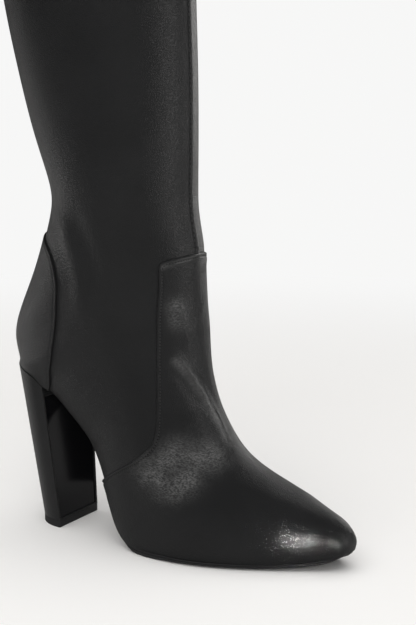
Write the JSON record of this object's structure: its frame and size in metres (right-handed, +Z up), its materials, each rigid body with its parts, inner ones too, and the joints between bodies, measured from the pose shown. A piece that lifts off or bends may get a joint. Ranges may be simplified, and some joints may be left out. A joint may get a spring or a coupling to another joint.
{
  "type": "thigh-high boot",
  "caption": "Tall pull-on boot for the right foot: one-piece leather upper to the thigh, vamp with a tongue-shaped tab, heel counter, thin sole and high block heel.",
  "frame": {"origin": "the middle of the heel's top piece, where it stands on the floor", "axes": "+X to the toe, +Y to the inner side of the foot, +Z up the shaft"},
  "size_m": [0.2608, 0.142, 0.7223],
  "materials": {
    "black_leather": "smooth, matte to satin",
    "insole_lining": "matte",
    "sole_leather": "smooth, dyed",
    "glossy_black": "glossy",
    "black_rubber": "matte"
  },
  "bodies": {
    "root": {"upper": "black_leather", "vamp": "black_leather", "counter": "black_leather", "insole": "insole_lining", "outsole": "sole_leather", "heel": "black_leather", "heel_breast": "glossy_black", "top_piece": "black_rubber"}
  },
  "joints": []
}
